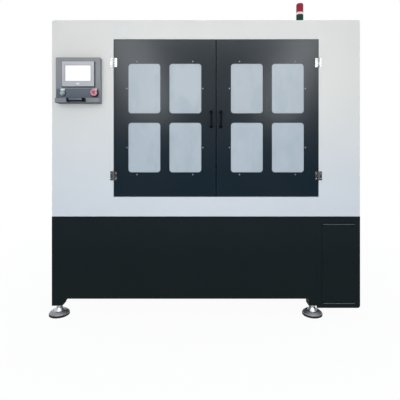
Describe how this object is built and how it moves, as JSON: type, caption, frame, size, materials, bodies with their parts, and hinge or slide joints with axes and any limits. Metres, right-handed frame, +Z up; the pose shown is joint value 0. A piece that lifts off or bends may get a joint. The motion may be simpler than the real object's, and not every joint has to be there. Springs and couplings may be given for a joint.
{
  "type": "enclosed bar-edge drilling machine",
  "caption": "Floor-standing drilling machine in a cabinet with windowed doors, a touch-panel control box, a signal tower and a clamped-bar drilling head inside.",
  "frame": {"origin": "on the floor, under the middle of the box round the whole machine", "axes": "+Z up, +X to the operator's right, the doors face -Y"},
  "size_m": [1.877, 1.32, 1.922],
  "materials": {
    "white_panel": "semi-gloss pale grey-white powder coat",
    "black_panel": "satin black powder coat",
    "door_black": "satin black powder coat",
    "frame_paint": "matt black paint",
    "frosted_window": "frosted polycarbonate",
    "bright_steel": "bright zinc plate",
    "foot_steel": "nickel plate",
    "rubber": "matt black rubber",
    "handle_black": "fine-grained black nylon",
    "console_grey": "fine-textured grey powder coat",
    "plate_grey": "dark grey powder coat",
    "bezel_silver": "silver-grey moulded plastic",
    "screen_white": "lit white screen",
    "collar_metal": "satin ring",
    "start_green": "translucent green plastic",
    "stop_red": "red moulded plastic",
    "lens_red": "translucent red lens",
    "lens_green": "translucent green lens",
    "lens_clear": "white ring",
    "tower_black": "black plastic",
    "bed_iron": "ground top, painted sides",
    "machine_paint": "grey machine enamel",
    "rail_steel": "ground steel",
    "bearing_black": "black oxide",
    "motor_black": "black painted housing",
    "housing_steel": "ground steel",
    "cylinder_alloy": "anodised",
    "tray_zinc": "galvanised sheet",
    "electrics": "plate with modules",
    "gland_black": "black nylon"
  },
  "bodies": {
    "cabinet": {"cabinet_frame": "frame_paint", "foot_pads": "foot_steel", "foot_rubbers": "rubber", "foot_studs": "foot_steel", "base_front_panel": "black_panel", "base_skirts": "black_panel", "service_box": "black_panel", "access_cover": "black_panel", "cable_gland": "gland_black", "wiring_panel": "electrics", "enclosure_front": "white_panel", "enclosure_back": "white_panel", "enclosure_sides": "white_panel", "enclosure_roof": "white_panel", "door_magnets": "gland_black", "fixed_hinge_leaves": "bright_steel", "hinge_pins": "bright_steel", "console_housing": "console_grey", "button_plate": "plate_grey", "button_collars": "collar_metal", "touch_panel": "bezel_silver", "touch_screen": "screen_white", "console_handle": "handle_black", "tower_base": "tower_black", "tower_green_lens": "lens_green", "tower_band": "lens_clear", "tower_red_lens": "lens_red", "machine_bed": "bed_iron", "portal": "machine_paint", "x_rails": "rail_steel", "x_screw_bearings": "bearing_black", "x_motor": "motor_black", "fixture": "rail_steel", "clamp_cylinders": "cylinder_alloy", "chip_tray": "tray_zinc"},
    "left_door": {"left_door": "door_black", "left_window": "frosted_window", "left_window_screws": "bright_steel", "left_door_handle": "handle_black", "left_hinge_leaves": "bright_steel"},
    "right_door": {"right_door": "door_black", "right_window": "frosted_window", "right_window_screws": "bright_steel", "right_door_handle": "handle_black", "right_hinge_leaves": "bright_steel"},
    "saddle": {"saddle": "machine_paint", "x_carriages": "rail_steel", "z_rails": "rail_steel", "z_screw_bearings": "bearing_black", "z_motor": "motor_black"},
    "x_screw": {"x_screw": "rail_steel"},
    "head": {"head_plate": "machine_paint", "z_carriages": "rail_steel", "spindle_housing": "housing_steel", "spindle_motor": "motor_black"},
    "z_screw": {"z_screw": "rail_steel"},
    "spindle": {"spindle": "rail_steel"},
    "clamp_rods": {"clamp_rods": "rail_steel"},
    "start_button": {"start_button": "start_green"},
    "emergency_stop": {"emergency_stop": "stop_red"}
  },
  "joints": [
    {"name": "left_door_swing", "type": "hinge", "parent": "cabinet", "child": "left_door", "pos_m": [-0.53975, -0.5728, 0.845], "axis": [0, 0, -1], "range_deg": [0, 105]},
    {"name": "right_door_swing", "type": "hinge", "parent": "cabinet", "child": "right_door", "pos_m": [0.68875, -0.5728, 0.845], "axis": [0, 0, 1], "range_deg": [0, 105]},
    {"name": "cross_travel", "type": "slide", "parent": "cabinet", "child": "saddle", "axis": [1, 0, 0], "range_m": [-0.3, 0.3]},
    {"name": "cross_screw_spin", "type": "hinge", "parent": "cabinet", "child": "x_screw", "pos_m": [0.0745, 0.011, 1.02], "axis": [1, 0, 0], "range_deg": [-10810, 10810]},
    {"name": "down_feed", "type": "slide", "parent": "saddle", "child": "head", "axis": [0, 0, -1], "range_m": [0, 0.12]},
    {"name": "feed_screw_spin", "type": "hinge", "parent": "saddle", "child": "z_screw", "pos_m": [0.0745, -0.056, 0.86], "axis": [0, 0, 1], "range_deg": [-10, 4330]},
    {"name": "spindle_spin", "type": "hinge", "parent": "head", "child": "spindle", "pos_m": [0.0745, -0.169, 0.96], "axis": [0, 0, 1], "continuous": true},
    {"name": "clamp_stroke", "type": "slide", "parent": "cabinet", "child": "clamp_rods", "axis": [0, 1, 0], "range_m": [0, 0.025]},
    {"name": "start_press", "type": "slide", "parent": "cabinet", "child": "start_button", "axis": [0, 1, 0], "range_m": [0, 0.004], "stiffness_N_per_m": 600, "springref_m": -0.002},
    {"name": "stop_press", "type": "slide", "parent": "cabinet", "child": "emergency_stop", "axis": [0, 1, 0], "range_m": [0, 0.005]}
  ],
  "couplings": [
    {"joint": "cross_screw_spin", "follows": "cross_travel", "rad_per_m": -628.32},
    {"joint": "feed_screw_spin", "follows": "down_feed", "rad_per_m": 628.32}
  ]
}
